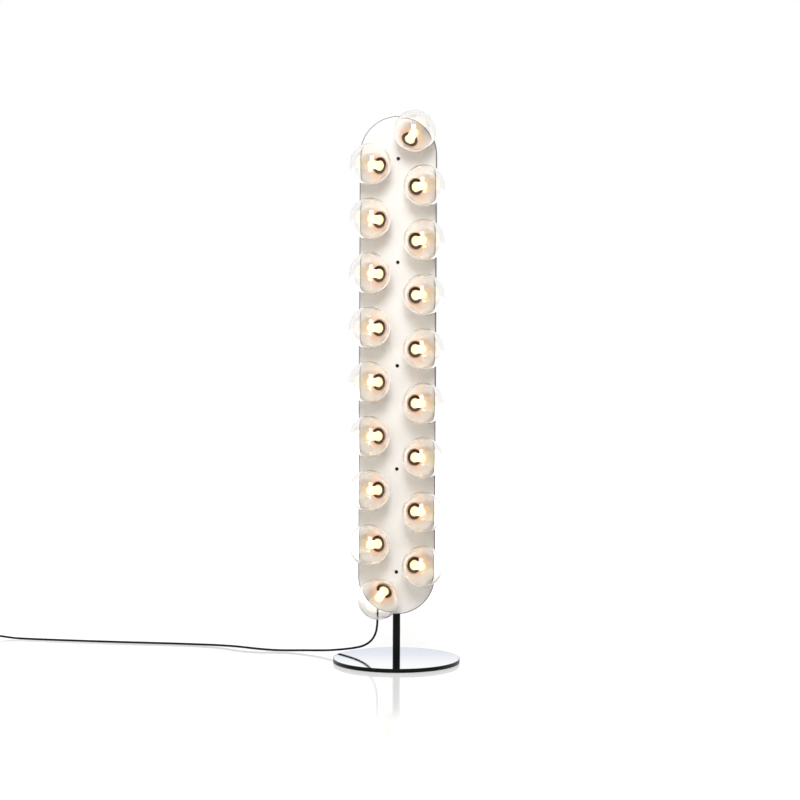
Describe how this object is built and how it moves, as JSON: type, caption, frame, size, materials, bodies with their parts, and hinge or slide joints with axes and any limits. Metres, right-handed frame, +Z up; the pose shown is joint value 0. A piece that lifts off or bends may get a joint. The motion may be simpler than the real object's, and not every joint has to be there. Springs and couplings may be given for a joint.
{
  "type": "floor lamp",
  "caption": "Tall white housing with round ends on a pole and mirror-topped disc base, carrying two staggered columns of clear globes tilted outwards over lit tubes; black mains cord.",
  "frame": {"origin": "on the floor under the middle of the disc base", "axes": "+Z up along the pole, +X to the right seen from the globes' side, +Y towards the rear cover"},
  "size_m": [1.8625, 0.586, 1.7272],
  "materials": {
    "white_lacquer": "smooth satin lacquer",
    "black_lacquer": "smooth satin black lacquer",
    "mirror_steel": "mirror polished",
    "clear_glass": "clear blown glass",
    "bronze_ring": "dark bronze lacquer",
    "lit_opal": "opal glass, lit warm white",
    "cap_brass": "plain",
    "socket_white": "fired ceramic look",
    "zinc_steel": "bright zinc",
    "black_screw": "black zinc",
    "black_rubber": "fine matte",
    "black_plastic": "fine moulded grain",
    "button_plastic": "satin",
    "wire_black": "plain",
    "wire_earth": "plain",
    "terminal_white": "plain",
    "nickel": "polished nickel",
    "spring_steel": "plain"
  },
  "bodies": {
    "root": {"base_bolt": "zinc_steel", "base_mirror_top": "mirror_steel", "base_pad": "black_rubber", "base_plate": "black_lacquer", "coil_tie": "black_plastic", "cord_coil": "black_rubber", "cord_free": "black_rubber", "cord_gland": "black_rubber", "earth_lead": "wire_earth", "earth_screw": "zinc_steel", "front_panel": "white_lacquer", "gland_nut": "black_plastic", "globe_01": "clear_glass", "globe_02": "clear_glass", "globe_03": "clear_glass", "globe_04": "clear_glass", "globe_05": "clear_glass", "globe_06": "clear_glass", "globe_07": "clear_glass", "globe_08": "clear_glass", "globe_09": "clear_glass", "globe_10": "clear_glass", "globe_11": "clear_glass", "globe_12": "clear_glass", "globe_13": "clear_glass", "globe_14": "clear_glass", "globe_15": "clear_glass", "globe_16": "clear_glass", "globe_17": "clear_glass", "globe_18": "clear_glass", "globe_snap_rings": "spring_steel", "holder_cups": "white_lacquer", "holder_nipples": "zinc_steel", "holder_rings": "bronze_ring", "inner_lead": "black_rubber", "lamp_caps": "cap_brass", "lamp_sockets": "socket_white", "lamp_tubes": "lit_opal", "loom_left": "wire_black", "loom_right": "wire_black", "nipple_nuts": "zinc_steel", "panel_bushes": "zinc_steel", "panel_screws": "black_screw", "plug_body": "black_rubber", "plug_pins": "nickel", "pole": "black_lacquer", "pole_foot_plug": "zinc_steel", "pole_top_cap": "black_plastic", "rear_bushes": "zinc_steel", "rear_cover": "white_lacquer", "rear_screws": "black_screw", "switch_base": "black_plastic", "switch_contact": "terminal_white", "switch_cover": "black_plastic", "switch_reliefs": "black_rubber", "switch_screws": "zinc_steel", "switch_spring": "spring_steel", "terminal_block": "terminal_white", "terminal_screws": "black_screw"},
    "button": {"switch_button": "button_plastic"}
  },
  "joints": [
    {"name": "button_press", "type": "slide", "parent": "root", "child": "button", "axis": [0, 0, -1], "range_m": [0, 0.003], "stiffness_N_per_m": 900, "springref_m": -0.004, "deforming": ["switch_spring"]}
  ]
}
